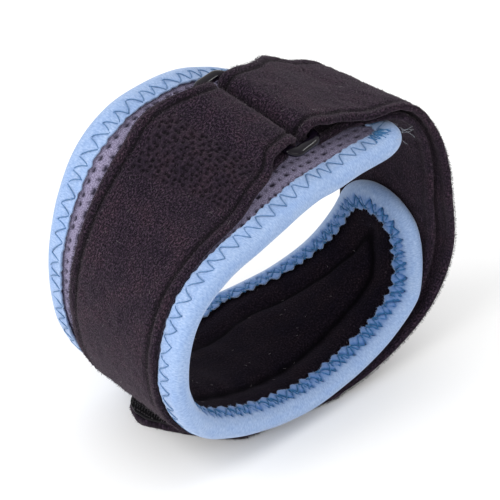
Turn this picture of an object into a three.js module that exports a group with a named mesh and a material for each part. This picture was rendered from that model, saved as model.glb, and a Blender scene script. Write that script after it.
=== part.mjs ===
import * as THREE from 'three';

// Driving dimensions, in millimetres
const LOOP_RADIUS = 52;
const BODY_WIDTH = 60;
const SHELL_THICKNESS = 1.6;
const LINING_THICKNESS = 2;
const PAD_RISE = 2.2;
const PAD_WIDTH = 25;
const SIDE_RISE = 0.9;
const CORNER_RADIUS = 9;
const TONGUE_RADIUS = 16;
const TONGUE_OFFSET = -9.5;
const TAPE_REACH = 7.5;
const TAPE_THICKNESS = 0.8;
const TAPE_FOLD = 2;
const STRAP_WIDTH = 39;
const STRAP_THICKNESS = 2.6;
const STRAP_IN_RING = 32;
const RING_BAR = 3.4;
const RING_THICKNESS = 2.2;
const RING_SPAN = 14.4;
const RING_RISE = 1.8;
const HEM = 1.3;
const TIP_LENGTH = 33;
const HOOK_LENGTH = 20;
const HOOK_THICKNESS = 1.2;
const HOOK_BORDER = 1;
const HOOK_HEM = 0.4;

// Clearances, in millimetres
const FACE_GAP = 0.4;
const LAYER_GAP = 0.5;
const STRAP_GAP = 0.4;
const RING_CLEARANCE = 0.5;

// Angles, in degrees round the loop from +X towards +Z
const BODY_START = 40;
const BODY_END = 366;
const FAR_TAPER = 23.7;
const NEAR_TAPER = 14;
const RING_ANGLE = 88;
const RING_SKEW = 8;
const HIDDEN_START = 118;
const HIDDEN_END = 102;
const LAP_START = 103;
const LAP_END = 429;
const TAIL_START = 431;
const TAIL_REST = 290;
const TAIL_END = 266;

// Steps of the lofts
const BODY_STEP = 5.4;
const STRAP_STEP = 6;
const TURN_STEPS = 6;
const NORMAL_SPAN = 4;

const degrees = Math.PI / 180;
const vector = (x, y, z) => new THREE.Vector3(x, y, z);

// Outer face of the band: at an angle, its radii at the near and far edges in shares of LOOP_RADIUS
const loopSections = [
  { at: 5, near: 0.935, far: 0.962 },
  { at: 20, near: 0.971, far: 1 },
  { at: 33, near: 1.01, far: 1.019 },
  { at: 42, near: 0.99, far: 0.981 },
  { at: 50, near: 0.844, far: 0.912 },
  { at: 60, near: 0.738, far: 0.873 },
  { at: 75, near: 0.632, far: 0.888 },
  { at: 90, near: 0.6, far: 0.93 },
  { at: 105, near: 0.585, far: 0.975 },
  { at: 120, near: 0.6, far: 1.035 },
  { at: 135, near: 0.677, far: 1.056 },
  { at: 150, near: 0.842, far: 1.031 },
  { at: 165, near: 1.013, far: 1.002 },
  { at: 180, near: 1.092, far: 0.988 },
  { at: 195, near: 1.117, far: 0.981 },
  { at: 210, near: 1.075, far: 0.973 },
  { at: 225, near: 0.971, far: 0.938 },
  { at: 240, near: 0.892, far: 0.894 },
  { at: 255, near: 0.854, far: 0.865 },
  { at: 270, near: 0.846, far: 0.856 },
  { at: 285, near: 0.854, far: 0.862 },
  { at: 300, near: 0.898, far: 0.89 },
  { at: 315, near: 0.965, far: 0.948 },
  { at: 330, near: 1.025, far: 0.992 },
  { at: 345, near: 1.012, far: 0.992 },
];

// Smooth value of a column of rows that repeat after a full turn
function turnValue(rows, column, angle) {
  const count = rows.length;
  const turned = ((angle - rows[0].at) % 360 + 360) % 360 + rows[0].at;
  let index = count - 1;
  while (rows[index].at > turned) index -= 1;
  const sample = (step) => {
    const wrapped = (index + step + count) % count;
    const turns = Math.floor((index + step) / count);
    return { at: rows[wrapped].at + 360 * turns, value: rows[wrapped][column] };
  };
  return hermite(sample(-1), sample(0), sample(1), sample(2), turned);
}

// Cubic through the two middle rows, with slopes from their neighbours
function hermite(before, start, end, after, place) {
  const span = end.at - start.at;
  const startSlope = (end.value - before.value) / (end.at - before.at) * span;
  const endSlope = (after.value - start.value) / (after.at - start.at) * span;
  const t = (place - start.at) / span;
  const t2 = t * t;
  const t3 = t2 * t;
  return (2 * t3 - 3 * t2 + 1) * start.value + (t3 - 2 * t2 + t) * startSlope
    + (3 * t2 - 2 * t3) * end.value + (t3 - t2) * endSlope;
}

// Smooth value of a column along an open table, held level past its ends
function rowValue(rows, column, place) {
  const last = rows.length - 1;
  if (place <= rows[0].at) return rows[0][column];
  if (place >= rows[last].at) return rows[last][column];
  let index = 0;
  while (rows[index + 1].at < place) index += 1;
  const sample = (step) => {
    const row = rows[Math.min(Math.max(index + step, 0), last)];
    return { at: row.at, value: row[column] };
  };
  return hermite(sample(-1), sample(0), sample(1), sample(2), place);
}

// Point of the band's outer face, and the same raised along the face's normal
function loopPoint(angle, across) {
  const share = across / BODY_WIDTH + 0.5;
  const near = turnValue(loopSections, 'near', angle);
  const far = turnValue(loopSections, 'far', angle);
  const radius = LOOP_RADIUS * (near + (far - near) * share);
  return vector(radius * Math.cos(angle * degrees), across, radius * Math.sin(angle * degrees));
}

function loopNormal(angle, across) {
  const along = loopPoint(angle + NORMAL_SPAN, across).sub(loopPoint(angle - NORMAL_SPAN, across));
  const over = loopPoint(angle, across + 0.2).sub(loopPoint(angle, across - 0.2));
  return over.cross(along).normalize();
}

function raised(angle, across, height) {
  return loopPoint(angle, across).addScaledVector(loopNormal(angle, across), height);
}

// Length round the middle of the band, from its squared end to any angle
const lengths = [0];
for (let angle = BODY_START; angle < BODY_END; angle += 1) {
  lengths.push(lengths[lengths.length - 1] + loopPoint(angle, 0).distanceTo(loopPoint(angle + 1, 0)));
}
const BODY_LENGTH = lengths[lengths.length - 1];

function angleAt(place) {
  const inside = Math.min(Math.max(place, 0), BODY_LENGTH);
  let index = 0;
  while (index < lengths.length - 2 && lengths[index + 1] < inside) index += 1;
  return BODY_START + index + (inside - lengths[index]) / (lengths[index + 1] - lengths[index]);
}

// Edge of the flat band: squared end with round corners, and a tongue between two tapers
function edgeAcross(place, inset, side) {
  const level = BODY_WIDTH / 2 - inset;
  const corner = CORNER_RADIUS - inset;
  const fromStart = place - inset;
  if (fromStart < corner) {
    return side * (level - corner + Math.sqrt(Math.max(0, corner ** 2 - (corner - fromStart) ** 2)));
  }
  const taper = (side > 0 ? FAR_TAPER : NEAR_TAPER) * degrees;
  const radius = TONGUE_RADIUS - inset;
  const fromCentre = BODY_LENGTH - place - TONGUE_RADIUS;
  const onArc = fromCentre < -radius * Math.sin(taper);
  const rise = onArc
    ? Math.sqrt(Math.max(0, radius ** 2 - fromCentre ** 2))
    : radius / Math.cos(taper) + Math.tan(taper) * fromCentre;
  return side * Math.min(level, side * TONGUE_OFFSET + rise);
}

// Distance of a place on the flat band from its edge
function edgeDistance(place, across) {
  const far = edgeAcross(place, 0, 1) - across;
  const near = across - edgeAcross(place, 0, -1);
  const end = BODY_LENGTH - TONGUE_RADIUS - place;
  const tip = TONGUE_RADIUS - Math.hypot(Math.min(end, 0), across - TONGUE_OFFSET);
  return Math.min(far, near, place, end < 0 ? tip : far);
}

// Closed body from rings of points: side walls, and caps over the first and last ring
function loft(rings, closed) {
  const size = rings[0].length;
  const positions = rings.flat().flatMap((point) => [point.x, point.y, point.z]);
  const indices = [];
  const spans = closed ? rings.length : rings.length - 1;
  for (let ring = 0; ring < spans; ring += 1) {
    const next = (ring + 1) % rings.length;
    for (let spot = 0; spot < size; spot += 1) {
      const after = (spot + 1) % size;
      const a = ring * size + spot;
      const b = ring * size + after;
      const c = next * size + after;
      const d = next * size + spot;
      indices.push(a, b, c, a, c, d);
    }
  }
  if (!closed) {
    cap(indices, rings[0], 0, false);
    cap(indices, rings[rings.length - 1], (rings.length - 1) * size, true);
  }
  const geometry = new THREE.BufferGeometry();
  geometry.setAttribute('position', new THREE.Float32BufferAttribute(positions, 3));
  geometry.setIndex(indices);
  return geometry;
}

// Triangles over an end ring, between its two long sides
function cap(indices, ring, base, flip) {
  let low = 0;
  let high = ring.length - 1;
  while (high - low > 1) {
    const forward = ring[low + 1].distanceTo(ring[high]) <= ring[low].distanceTo(ring[high - 1]);
    const third = forward ? low + 1 : high - 1;
    const order = flip ? [low, third, high] : [low, high, third];
    indices.push(...order.map((corner) => base + corner));
    if (forward) low += 1;
    else high -= 1;
  }
}

// Places of the columns along the band, closer at its round ends
function bodyColumns(inset) {
  const columns = [];
  const corner = CORNER_RADIUS - inset;
  const tongue = TONGUE_RADIUS - inset;
  const end = BODY_LENGTH - TONGUE_RADIUS;
  [0, 0.12, 0.35, 0.65].forEach((share) => columns.push(inset + corner * share));
  const straight = end - CORNER_RADIUS;
  const count = Math.round(straight / BODY_STEP);
  for (let step = 0; step < count; step += 1) columns.push(CORNER_RADIUS + straight * step / count);
  [0, 30, 50, 65, 78, 88].forEach((turn) => columns.push(end + tongue * Math.sin(turn * degrees)));
  return columns;
}

// Slab of the band between two heights over its outer face
function slab(inset, topHeight, bottomHeight, topShares, bottomShares) {
  const rings = bodyColumns(inset).map((place) => {
    const near = edgeAcross(place, inset, -1);
    const far = edgeAcross(place, inset, 1);
    const angle = angleAt(place);
    const at = (share, height) => {
      const across = near + (far - near) * share;
      return raised(angle, across, height(edgeDistance(place, across)));
    };
    const top = topShares.map((share) => at(share, topHeight));
    const bottom = bottomShares.map((share) => at(share, bottomHeight));
    return [...top, ...bottom.reverse()];
  });
  return loft(rings, false);
}

// The band's two layers
const EDGE_INSET = TAPE_FOLD + FACE_GAP;
const LINING_TOP = -SHELL_THICKNESS - LAYER_GAP;
const BAND_FLOOR = LINING_TOP - LINING_THICKNESS;
const evenShares = [0, 0.25, 0.5, 0.75, 1];

const shellGeometry = slab(EDGE_INSET, () => 0, () => -SHELL_THICKNESS, evenShares, evenShares);

// Padding of the inner face, by distance from the band's edge
const padEdge = (BODY_WIDTH - PAD_WIDTH) / 2;
const padding = [
  { at: TAPE_REACH, rise: 0 },
  { at: (TAPE_REACH + padEdge) / 2, rise: SIDE_RISE },
  { at: padEdge, rise: 0.1 * PAD_RISE },
  { at: padEdge + 0.2 * PAD_WIDTH, rise: 0.85 * PAD_RISE },
  { at: BODY_WIDTH / 2, rise: PAD_RISE },
];
const liningShares = [
  0,
  (TAPE_REACH - EDGE_INSET) / (BODY_WIDTH - 2 * EDGE_INSET),
  ((TAPE_REACH + padEdge) / 2 - EDGE_INSET) / (BODY_WIDTH - 2 * EDGE_INSET),
  (padEdge - EDGE_INSET) / (BODY_WIDTH - 2 * EDGE_INSET),
  (padEdge + 0.2 * PAD_WIDTH - EDGE_INSET) / (BODY_WIDTH - 2 * EDGE_INSET),
];
const paddedShares = [...liningShares, 0.5, ...liningShares.map((share) => 1 - share).reverse()];

const liningGeometry = slab(
  EDGE_INSET,
  () => LINING_TOP,
  (distance) => BAND_FLOOR - rowValue(padding, 'rise', distance),
  evenShares,
  paddedShares,
);

// Round the band's edge: places, directions inward, for the folded tape
function edgePath() {
  const places = [];
  const side = (sign) => {
    const along = [];
    const corner = [15, 45, 75, 90].map((turn) => CORNER_RADIUS * (1 - Math.cos(turn * degrees)));
    along.push(...corner);
    const taper = (sign > 0 ? FAR_TAPER : NEAR_TAPER) * degrees;
    const tangent = BODY_LENGTH - TONGUE_RADIUS + TONGUE_RADIUS * Math.sin(taper);
    const count = Math.round((tangent - CORNER_RADIUS) / BODY_STEP);
    for (let step = 1; step <= count; step += 1) {
      along.push(CORNER_RADIUS + (tangent - CORNER_RADIUS) * step / count);
    }
    return along.map((place) => ({ place, across: edgeAcross(place, 0, sign) }));
  };
  places.push(...side(-1));
  const centre = BODY_LENGTH - TONGUE_RADIUS;
  for (let turn = -90 + NEAR_TAPER + 14; turn < 90 - FAR_TAPER - 6; turn += 14) {
    places.push({
      place: centre + TONGUE_RADIUS * Math.cos(turn * degrees),
      across: TONGUE_OFFSET + TONGUE_RADIUS * Math.sin(turn * degrees),
    });
  }
  places.push(...side(1).reverse());
  const steps = Math.round((BODY_WIDTH - 2 * CORNER_RADIUS) / BODY_STEP);
  for (let step = 0; step <= steps; step += 1) {
    places.push({ place: 0, across: (BODY_WIDTH / 2 - CORNER_RADIUS) * (1 - 2 * step / steps) });
  }
  return places;
}

// Folded tape: a section of two legs and a round fold, carried round the edge
const TAPE_TOP = FACE_GAP + TAPE_THICKNESS;
const TAPE_FLOOR = BAND_FLOOR - FACE_GAP - TAPE_THICKNESS;
const foldRadius = (TAPE_TOP - TAPE_FLOOR) / 2;
const foldMiddle = (TAPE_TOP + TAPE_FLOOR) / 2;
const tapeSection = [
  { inward: TAPE_FOLD, height: TAPE_TOP - TAPE_THICKNESS },
  { inward: TAPE_FOLD, height: TAPE_FLOOR + TAPE_THICKNESS },
  { inward: TAPE_REACH, height: TAPE_FLOOR + TAPE_THICKNESS },
  { inward: TAPE_REACH, height: TAPE_FLOOR },
  ...[270, 240, 210, 180, 150, 120, 90].map((turn) => ({
    inward: foldRadius * (1 + Math.cos(turn * degrees)),
    height: foldMiddle + foldRadius * Math.sin(turn * degrees),
  })),
  { inward: TAPE_REACH, height: TAPE_TOP },
  { inward: TAPE_REACH, height: TAPE_TOP - TAPE_THICKNESS },
];

function bindingRings() {
  const path = edgePath();
  return path.map((spot, index) => {
    const before = path[(index + path.length - 1) % path.length];
    const after = path[(index + 1) % path.length];
    const alongPlace = after.place - before.place;
    const alongAcross = after.across - before.across;
    const length = Math.hypot(alongPlace, alongAcross);
    return tapeSection.map(({ inward, height }) => {
      const place = spot.place - inward * alongAcross / length;
      const across = spot.across + inward * alongPlace / length;
      return raised(angleAt(place), across, height);
    });
  });
}
const bindingGeometry = loft(bindingRings(), true);

// Levels of the strap over the band in layers of it, and its place in the ring
const LAYER_PITCH = STRAP_THICKNESS + STRAP_GAP;
const TURN_RADIUS = RING_THICKNESS / 2 + FACE_GAP + STRAP_THICKNESS / 2;
const ON_BAND = 0;
const ON_TAPE = TAPE_TOP / LAYER_PITCH;
const ON_STRAP = 1;
const ON_RING = 2 * TURN_RADIUS / LAYER_PITCH;
const GRIPPED = STRAP_IN_RING / STRAP_WIDTH;
const RING_CENTRE = -0.03;

// Strap from its hidden end under the sewn patch up to the ring's left bar
const hiddenRun = [
  { at: HIDDEN_END, layer: ON_BAND, centre: RING_CENTRE, width: GRIPPED },
  { at: HIDDEN_START, layer: ON_BAND, centre: RING_CENTRE, width: GRIPPED },
];

// Strap from the ring's left bar round the band to the ring's right bar
const firstLap = [
  { at: LAP_START, layer: ON_RING + 0.45, centre: RING_CENTRE, width: GRIPPED },
  { at: 106, layer: 1.5, centre: -0.03, width: 0.93 },
  { at: 111, layer: ON_STRAP + 0.1, centre: -0.02, width: 0.98 },
  { at: 120, layer: ON_STRAP + 0.1, centre: -0.03, width: 1 },
  { at: 128, layer: ON_BAND, centre: -0.05, width: 1 },
  { at: 150, layer: ON_BAND, centre: -0.08, width: 1 },
  { at: 180, layer: ON_BAND, centre: -0.09, width: 1 },
  { at: 210, layer: ON_BAND, centre: -0.09, width: 1 },
  { at: 270, layer: ON_BAND, centre: -0.08, width: 1 },
  { at: 285, layer: 0.1, centre: -0.1, width: 1 },
  { at: 300, layer: ON_TAPE, centre: -0.15, width: 1 },
  { at: 330, layer: ON_TAPE, centre: -0.26, width: 1 },
  { at: 360, layer: ON_TAPE, centre: -0.31, width: 1 },
  { at: 385, layer: ON_TAPE, centre: -0.3, width: 1 },
  { at: 400, layer: ON_TAPE + 0.15, centre: -0.21, width: 1 },
  { at: 412, layer: ON_TAPE + 0.15, centre: 0.0, width: 0.93 },
  { at: 422, layer: 0.1, centre: 0.0, width: 0.87 },
  { at: LAP_END, layer: ON_BAND, centre: RING_CENTRE, width: GRIPPED },
];

// Strap's free end, from the ring's right bar back to where it leaves the band
const tail = [
  { at: 262, layer: 1.05, centre: -0.05, width: 1 },
  { at: 272, layer: 1.05, centre: -0.12, width: 1 },
  { at: 292, layer: 1.45, centre: -0.23, width: 1 },
  { at: 315, layer: 1.65, centre: -0.31, width: 1 },
  { at: 334, layer: 1.6, centre: -0.4, width: 1 },
  { at: 350, layer: 1.5, centre: -0.46, width: 1 },
  { at: 365, layer: 1.45, centre: -0.48, width: 1 },
  { at: 380, layer: 1.45, centre: -0.43, width: 1 },
  { at: 395, layer: 1.6, centre: -0.31, width: 1 },
  { at: 408, layer: 1.9, centre: -0.16, width: 1 },
  { at: 419, layer: 2.2, centre: -0.04, width: 0.95 },
  { at: 427, layer: 2.6, centre: -0.03, width: 0.9 },
  { at: TAIL_START, layer: ON_RING + 0.95, centre: RING_CENTRE, width: GRIPPED },
];

// Extra height of the strap's far edge, in layers of it: none, and where the tail leaves the ring
const level = [{ at: 0, lift: 0 }];
const tailLift = [
  { at: 396, lift: 0 },
  { at: 406, lift: 0.25 },
  { at: 416, lift: 0.5 },
  { at: 425, lift: 0.4 },
  { at: TAIL_START, lift: 0 },
];

// One station of the strap: its two edges, and the side that its first face looks to
function restingStation(rows, lifts, angle, facing) {
  const layer = rowValue(rows, 'layer', angle);
  const centre = rowValue(rows, 'centre', angle) * BODY_WIDTH / 2;
  const half = rowValue(rows, 'width', angle) * STRAP_WIDTH / 2;
  const height = STRAP_GAP + STRAP_THICKNESS / 2 + layer * LAYER_PITCH;
  const edge = (across, rise) => ({
    point: raised(angle, across, height + rise),
    normal: loopNormal(angle, across).multiplyScalar(facing),
  });
  const lift = rowValue(lifts, 'lift', angle) * LAYER_PITCH;
  return { near: edge(centre - half, 0), far: edge(centre + half, lift) };
}

function run(rows, lifts, from, to, facing) {
  const count = Math.max(1, Math.round(Math.abs(to - from) / STRAP_STEP));
  const stations = [];
  for (let step = 0; step <= count; step += 1) {
    stations.push(restingStation(rows, lifts, from + (to - from) * step / count, facing));
  }
  return stations;
}

// Ring: its middle, its short way across the strap's fold and its long way over the strap
const RING_ACROSS = RING_CENTRE * BODY_WIDTH / 2;
const RING_LENGTH = STRAP_IN_RING + 2 * RING_CLEARANCE + 2 * RING_BAR;
const ringHeight = STRAP_GAP + STRAP_THICKNESS / 2 + TURN_RADIUS + RING_RISE;
const ringMiddle = raised(RING_ANGLE, RING_ACROSS, ringHeight);
const ringLong = loopPoint(RING_ANGLE, RING_ACROSS + RING_LENGTH / 2)
  .sub(loopPoint(RING_ANGLE, RING_ACROSS - RING_LENGTH / 2))
  .add(vector(-RING_LENGTH * Math.tan(RING_SKEW * degrees), 0, 0))
  .normalize();
const ringUp = ringLong.clone().cross(vector(-1, 0, 0)).normalize();
const ringShort = ringLong.clone().cross(ringUp).normalize();

// The strap's half turn round one of the ring's long bars
function turnStations(side) {
  const barMiddle = side * (RING_SPAN - RING_BAR) / 2;
  const turnMiddle = barMiddle - side * (RING_BAR - RING_THICKNESS) / 2;
  const stations = [];
  for (let step = 0; step <= TURN_STEPS; step += 1) {
    const turn = (-90 + 180 * step / TURN_STEPS) * degrees;
    const radial = ringShort.clone().multiplyScalar(-side * Math.cos(turn))
      .addScaledVector(ringUp, Math.sin(turn));
    const edge = (across) => ({
      point: ringMiddle.clone().addScaledVector(ringShort, turnMiddle)
        .addScaledVector(radial, TURN_RADIUS)
        .addScaledVector(ringLong, across),
      normal: radial.clone().multiplyScalar(side),
    });
    stations.push({ near: edge(-STRAP_IN_RING / 2), far: edge(STRAP_IN_RING / 2) });
  }
  return stations;
}

// Tail's lowest stretch, laid flat on the ground
const tailRun = run(tail, tailLift, TAIL_START, TAIL_END, 1);
const groundLevel = Math.min(...tailRun.flatMap(({ near, far }) => [near.point.z, far.point.z]));
const restAcross = loopPoint(TAIL_REST, 0).x;
tailRun.flatMap(({ near, far }) => [near, far]).forEach((edge) => {
  if (edge.point.z > 0 || edge.point.x > restAcross) return;
  edge.point.z = groundLevel;
  edge.normal.set(0, 0, -1);
});

// Free tip: flat on the ground past the band, its end round and skewed
const tipRows = [
  { at: 0, near: 0, far: 0, centre: -0.08 },
  { at: 0.5, near: 0, far: 0, centre: 0 },
  { at: 0.65, near: 0.12, far: 0, centre: 0 },
  { at: 0.78, near: 0.29, far: 0.02, centre: 0 },
  { at: 0.92, near: 0.51, far: 0.09, centre: 0 },
  { at: 1, near: 0.68, far: 0.22, centre: 0 },
];
const tipStart = tailRun[tailRun.length - 1].near.point.x;

function tipEdges(reach, border) {
  const centre = rowValue(tipRows, 'centre', reach) * BODY_WIDTH / 2;
  const near = centre - STRAP_WIDTH / 2 + rowValue(tipRows, 'near', reach) * STRAP_WIDTH + border;
  const far = centre + STRAP_WIDTH / 2 - rowValue(tipRows, 'far', reach) * STRAP_WIDTH - border;
  return { near, far };
}

function tipStations(shares, border, level) {
  return shares.map((reach) => {
    const edges = tipEdges(reach, border);
    const x = tipStart - reach * TIP_LENGTH;
    const edge = (across) => ({ point: vector(x, across, level), normal: vector(0, 0, -1) });
    return { near: edge(edges.near), far: edge(edges.far) };
  });
}

// Ring of points round the strap at a station, its hems rounded
function strapRing({ near, far }, thickness, hem) {
  const width = near.point.distanceTo(far.point);
  const at = (inset, height) => {
    const share = inset / width;
    return near.point.clone().lerp(far.point, share)
      .addScaledVector(near.normal.clone().lerp(far.normal, share).normalize(), height * thickness / 2);
  };
  const face = (sign) => [
    at(0.25 * hem, 0.72 * sign),
    at(hem, sign),
    at(width / 2, sign),
    at(width - hem, sign),
    at(width - 0.25 * hem, 0.72 * sign),
  ];
  return [at(0, 0), ...face(-1), at(width, 0), ...face(1).reverse()];
}

const strapStations = [
  ...run(hiddenRun, level, HIDDEN_START, HIDDEN_END, 1),
  ...turnStations(-1),
  ...run(firstLap, level, LAP_START, LAP_END, -1),
  ...turnStations(1),
  ...tailRun,
  ...tipStations([0.14, 0.3, 0.5, 0.65, 0.78, 0.87, 0.95, 1], 0, groundLevel),
];
const strapGeometry = loft(strapStations.map((station) => strapRing(station, STRAP_THICKNESS, HEM)), false);

// Hook tab on the upper face of the tip, within its outline
const hookLevel = groundLevel + STRAP_THICKNESS / 2 + FACE_GAP + HOOK_THICKNESS / 2;
const hookStart = 1 - HOOK_LENGTH / TIP_LENGTH;
const hookEnd = 1 - HOOK_BORDER / TIP_LENGTH;
const hookShares = [0, 0.3, 0.5, 0.7, 0.85, 1].map((share) => hookStart + (hookEnd - hookStart) * share);
const hookGeometry = loft(
  tipStations(hookShares, HOOK_BORDER, hookLevel).map((station) => strapRing(station, HOOK_THICKNESS, HOOK_HEM)),
  false,
);

// Ring: a rounded rectangle with a window, moulded with a soft edge
function roundedRectangle(path, width, length, radius) {
  const x = width / 2;
  const y = length / 2;
  path.moveTo(x - radius, -y);
  path.absarc(x - radius, -y + radius, radius, -Math.PI / 2, 0, false);
  path.absarc(x - radius, y - radius, radius, 0, Math.PI / 2, false);
  path.absarc(-x + radius, y - radius, radius, Math.PI / 2, Math.PI, false);
  path.absarc(-x + radius, -y + radius, radius, Math.PI, 1.5 * Math.PI, false);
  return path;
}

function ringShape() {
  const bevel = RING_THICKNESS * 0.25;
  const outline = roundedRectangle(
    new THREE.Shape(), RING_SPAN - 2 * bevel, RING_LENGTH - 2 * bevel, RING_BAR * 0.8,
  );
  const window = roundedRectangle(
    new THREE.Path(),
    RING_SPAN - 2 * RING_BAR + 2 * bevel,
    RING_LENGTH - 2 * RING_BAR + 2 * bevel,
    RING_BAR * 0.35,
  );
  outline.holes.push(window);
  const geometry = new THREE.ExtrudeGeometry(outline, {
    depth: RING_THICKNESS - 2 * bevel,
    bevelThickness: bevel,
    bevelSize: bevel,
    bevelSegments: 2,
    curveSegments: 5,
  });
  geometry.translate(0, 0, bevel - RING_THICKNESS / 2);
  return geometry;
}
const ringGeometry = ringShape();

// Colours and finishes
const finish = (color, roughness) => new THREE.MeshStandardMaterial({ color, roughness, metalness: 0 });
const meshCloth = finish('#5a5562', 0.85);
const fleece = finish('#17151c', 0.95);
const tape = finish('#8fb2e2', 0.7);
const velour = finish('#352e34', 0.95);
const gloss = finish('#101114', 0.25);
const hooks = finish('#1b1b20', 0.6);

const group = new THREE.Group();
function addNode(name, geometry, material) {
  const mesh = new THREE.Mesh(geometry, material);
  mesh.name = name;
  group.add(mesh);
  return mesh;
}
addNode('shell', shellGeometry, meshCloth);
addNode('lining', liningGeometry, fleece);
addNode('edge_binding', bindingGeometry, tape);
addNode('strap', strapGeometry, velour);
const ring = addNode('strap_ring', ringGeometry, gloss);
addNode('hook_tab', hookGeometry, hooks);
ring.matrix.makeBasis(ringShort, ringLong, ringUp).setPosition(ringMiddle);
ring.matrix.decompose(ring.position, ring.quaternion, ring.scale);

// Origin at the middle of the box, on the ground
const bounds = new THREE.Box3().setFromObject(group, true);
const middle = bounds.getCenter(vector(0, 0, 0));
group.position.set(-middle.x, -middle.y, -bounds.min.z);

export default group;
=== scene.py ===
import math

import bpy
import numpy as np
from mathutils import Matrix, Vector


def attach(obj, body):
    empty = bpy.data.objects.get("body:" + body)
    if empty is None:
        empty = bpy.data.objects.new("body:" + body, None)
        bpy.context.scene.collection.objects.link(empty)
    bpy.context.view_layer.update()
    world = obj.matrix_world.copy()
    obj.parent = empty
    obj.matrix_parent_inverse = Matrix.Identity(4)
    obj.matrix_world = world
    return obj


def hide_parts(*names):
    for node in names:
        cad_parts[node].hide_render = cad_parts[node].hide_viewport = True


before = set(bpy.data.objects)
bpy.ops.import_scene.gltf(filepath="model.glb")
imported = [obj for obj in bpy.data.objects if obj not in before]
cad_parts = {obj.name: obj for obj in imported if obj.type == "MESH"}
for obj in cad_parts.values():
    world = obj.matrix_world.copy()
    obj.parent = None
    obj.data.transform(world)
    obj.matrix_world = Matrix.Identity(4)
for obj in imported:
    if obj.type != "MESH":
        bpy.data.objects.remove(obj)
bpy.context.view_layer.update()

# Sizes in millimetres, the same as the solids'
LOOP_RADIUS = 52.0
BODY_WIDTH = 60.0
SHELL_THICKNESS = 1.6
LINING_THICKNESS = 2.0
PAD_RISE = 2.2
PAD_WIDTH = 25.0
SIDE_RISE = 0.9
CORNER_RADIUS = 9.0
TONGUE_RADIUS = 16.0
TONGUE_OFFSET = -9.5
TAPE_REACH = 7.5
TAPE_THICKNESS = 0.8
TAPE_FOLD = 2.0
STRAP_WIDTH = 39.0
STRAP_THICKNESS = 2.6
STRAP_IN_RING = 32.0
RING_BAR = 3.4
RING_THICKNESS = 2.2
RING_SPAN = 14.4
RING_RISE = 1.8
TIP_LENGTH = 33.0
HOOK_LENGTH = 20.0
HOOK_THICKNESS = 1.2
FACE_GAP = 0.4
LAYER_GAP = 0.5
STRAP_GAP = 0.4
RING_CLEARANCE = 0.5

# Angles in degrees round the loop from +X towards +Z
BODY_START = 40
BODY_END = 366
FAR_TAPER = 23.7
NEAR_TAPER = 14.0
RING_ANGLE = 88
RING_SKEW = 8.0
HIDDEN_START = 118
HIDDEN_END = 102
LAP_START = 103
LAP_END = 429
TAIL_START = 431
TAIL_REST = 290
TAIL_END = 266
NORMAL_SPAN = 4.0

# Middle of the loop in the part's frame
LOOP_MIDDLE = np.array([0.402, 1.58, 50.504])

MM = 0.001
random = np.random.default_rng(7)

# Outer face of the band: at an angle, radii at its near and far edges in shares of LOOP_RADIUS
LOOP_COLUMNS = ("at", "near", "far")
LOOP_SECTIONS = [
    (5, 0.935, 0.962),
    (20, 0.971, 1),
    (33, 1.01, 1.019),
    (42, 0.99, 0.981),
    (50, 0.844, 0.912),
    (60, 0.738, 0.873),
    (75, 0.632, 0.888),
    (90, 0.6, 0.93),
    (105, 0.585, 0.975),
    (120, 0.6, 1.035),
    (135, 0.677, 1.056),
    (150, 0.842, 1.031),
    (165, 1.013, 1.002),
    (180, 1.092, 0.988),
    (195, 1.117, 0.981),
    (210, 1.075, 0.973),
    (225, 0.971, 0.938),
    (240, 0.892, 0.894),
    (255, 0.854, 0.865),
    (270, 0.846, 0.856),
    (285, 0.854, 0.862),
    (300, 0.898, 0.89),
    (315, 0.965, 0.948),
    (330, 1.025, 0.992),
    (345, 1.012, 0.992),
]


class Table:
    """Rows keyed on their first column, read as smooth curves."""

    def __init__(self, columns, rows, turn=None):
        self.columns = columns
        self.turn = turn
        self.data = np.array(rows, float)
        if turn:
            shift = turn * (np.arange(len(columns)) == 0)
            self.data = np.vstack([self.data - shift, self.data, self.data + shift])

    def value(self, column, place):
        keys = self.data[:, 0]
        values = self.data[:, self.columns.index(column)]
        place = np.asarray(place, float)
        if self.turn:
            place = np.mod(place, self.turn)
        place = np.clip(place, keys[0], keys[-1])
        ahead = np.append(np.arange(1, len(keys)), len(keys) - 1)
        behind = np.append(0, np.arange(len(keys) - 1))
        slopes = (values[ahead] - values[behind]) / (keys[ahead] - keys[behind])
        low = np.clip(np.searchsorted(keys, place, side="right") - 1, 0, len(keys) - 2)
        span = keys[low + 1] - keys[low]
        t = (place - keys[low]) / span
        return (
            (2 * t**3 - 3 * t**2 + 1) * values[low]
            + (t**3 - 2 * t**2 + t) * slopes[low] * span
            + (3 * t**2 - 2 * t**3) * values[low + 1]
            + (t**3 - t**2) * slopes[low + 1] * span
        )


loop_table = Table(LOOP_COLUMNS, LOOP_SECTIONS, 360.0)


def unit(vectors):
    return vectors / np.maximum(np.linalg.norm(vectors, axis=-1, keepdims=True), 1e-9)


def travelled(points):
    """Distance along a line of points, at each of them."""
    return np.append(0, np.cumsum(np.linalg.norm(np.diff(points, axis=0), axis=1)))


def smoothstep(low, high, value):
    t = np.clip((np.asarray(value, float) - low) / (high - low), 0, 1)
    return t * t * (3 - 2 * t)


def loop_point(angle, across):
    """Point of the band's outer face."""
    share = across / BODY_WIDTH + 0.5
    near = loop_table.value("near", angle)
    far = loop_table.value("far", angle)
    radius = LOOP_RADIUS * (near + (far - near) * share)
    turn = np.radians(angle)
    return np.stack([radius * np.cos(turn), across + 0 * radius, radius * np.sin(turn)], -1)


def loop_normal(angle, across):
    along = loop_point(angle + NORMAL_SPAN, across) - loop_point(angle - NORMAL_SPAN, across)
    over = loop_point(angle, across + 0.2) - loop_point(angle, across - 0.2)
    return unit(np.cross(over, along))


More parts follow.
